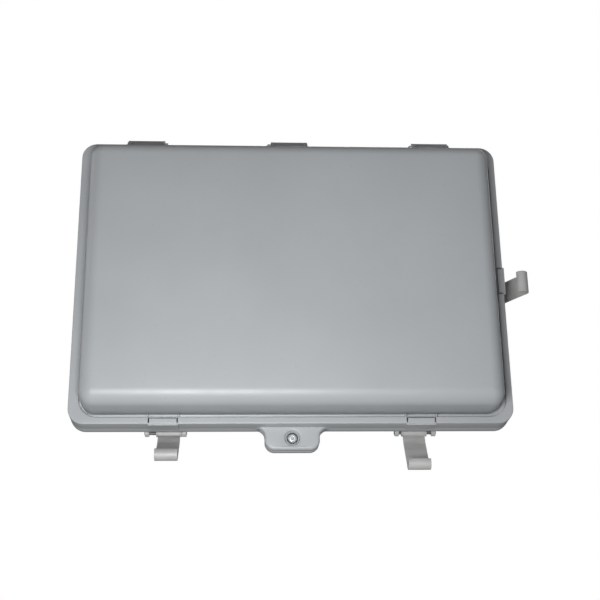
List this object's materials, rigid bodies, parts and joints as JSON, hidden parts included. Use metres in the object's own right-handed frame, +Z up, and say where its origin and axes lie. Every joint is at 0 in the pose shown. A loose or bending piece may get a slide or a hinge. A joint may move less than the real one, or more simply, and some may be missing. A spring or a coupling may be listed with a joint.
{
  "type": "fiber_termination_box",
  "caption": "Grey wall-hung fiber termination box with a domed hinged door, hooked draw latches standing open, a lock tab and a splice tray inside.",
  "frame": {"origin": "Centre of the back face, the face that lies on the wall", "axes": "+X right, +Z up, -Y out of the wall through the door"},
  "size_m": [0.4786, 0.13, 0.3694],
  "materials": {
    "grey_shell": "satin moulded, faint mottling",
    "latch_steel": "satin, sheared edges",
    "bright_steel": "bright",
    "zinc_steel": "zinc plated",
    "brass": "turned",
    "black_rubber": "matte",
    "tray_white": "moulded",
    "clear_smoke": "clear polycarbonate",
    "adapter_blue": "moulded",
    "cap_white": "moulded"
  },
  "bodies": {
    "base": {"base_shell": "grey_shell", "latch_pin_left": "bright_steel", "latch_pin_right": "bright_steel", "latch_pin_side": "bright_steel", "lock_insert": "brass", "hinge_pin_left": "bright_steel", "hinge_pin_middle": "bright_steel", "hinge_pin_right": "bright_steel", "wall_plug_1": "black_rubber", "wall_plug_2": "black_rubber", "wall_plug_3": "black_rubber", "wall_plug_4": "black_rubber", "feeder_grommet_lower": "black_rubber", "feeder_grommet_upper": "black_rubber", "drop_grommet_strip": "black_rubber", "mounting_plate": "zinc_steel", "plate_screw_1": "bright_steel", "plate_screw_2": "bright_steel", "plate_screw_3": "bright_steel", "plate_screw_4": "bright_steel", "tray_hinge_pin": "bright_steel", "tray_bracket": "zinc_steel", "tray_rest": "black_rubber", "adapter_panel": "zinc_steel", "panel_screw_1": "bright_steel", "panel_screw_2": "bright_steel", "fiber_adapter_1": "adapter_blue", "dust_cap_1": "cap_white", "fiber_adapter_2": "adapter_blue", "dust_cap_2": "cap_white", "fiber_adapter_3": "adapter_blue", "dust_cap_3": "cap_white", "fiber_adapter_4": "adapter_blue", "dust_cap_4": "cap_white", "fiber_adapter_5": "adapter_blue", "dust_cap_5": "cap_white", "fiber_adapter_6": "adapter_blue", "dust_cap_6": "cap_white", "cable_clamp_lower": "zinc_steel", "cable_clamp_screw_lower": "bright_steel", "cable_clamp_upper": "zinc_steel", "cable_clamp_screw_upper": "bright_steel", "strength_member_post": "brass", "strength_member_screw": "bright_steel", "ground_stud": "brass", "ground_nut": "brass", "slack_spool_lower": "tray_white", "slack_spool_upper": "tray_white"},
    "door": {"door_shell": "grey_shell", "door_gasket": "black_rubber", "lock_washer": "black_rubber"},
    "latch_left": {"latch_strap_left": "latch_steel"},
    "latch_right": {"latch_strap_right": "latch_steel"},
    "latch_side": {"latch_strap_side": "latch_steel"},
    "lock": {"lock_bolt": "bright_steel"},
    "tray": {"splice_tray": "tray_white", "splice_tray_cover": "clear_smoke", "splice_holder": "black_rubber"}
  },
  "joints": [
    {"name": "door_hinge", "type": "hinge", "parent": "base", "child": "door", "pos_m": [0, -0.078, 0.1616], "axis": [-1, 0, 0], "range_deg": [0, 115]},
    {"name": "latch_left_hinge", "type": "hinge", "parent": "base", "child": "latch_left", "pos_m": [-0.13, -0.047, -0.1545], "axis": [1, 0, 0], "range_deg": [-41, 79]},
    {"name": "latch_right_hinge", "type": "hinge", "parent": "base", "child": "latch_right", "pos_m": [0.13, -0.047, -0.1545], "axis": [1, 0, 0], "range_deg": [-56, 64]},
    {"name": "latch_side_hinge", "type": "hinge", "parent": "base", "child": "latch_side", "pos_m": [0.224, -0.047, -0.0015], "axis": [0, 0, 1], "range_deg": [-30, 90]},
    {"name": "lock_turn", "type": "hinge", "parent": "door", "child": "lock", "pos_m": [0, -0.074, -0.1671], "axis": [0, 1, 0], "range_deg": [0, 90]},
    {"name": "tray_hinge", "type": "hinge", "parent": "base", "child": "tray", "pos_m": [0.004, -0.031, 0], "axis": [0, 0, 1], "range_deg": [0, 40]}
  ]
}
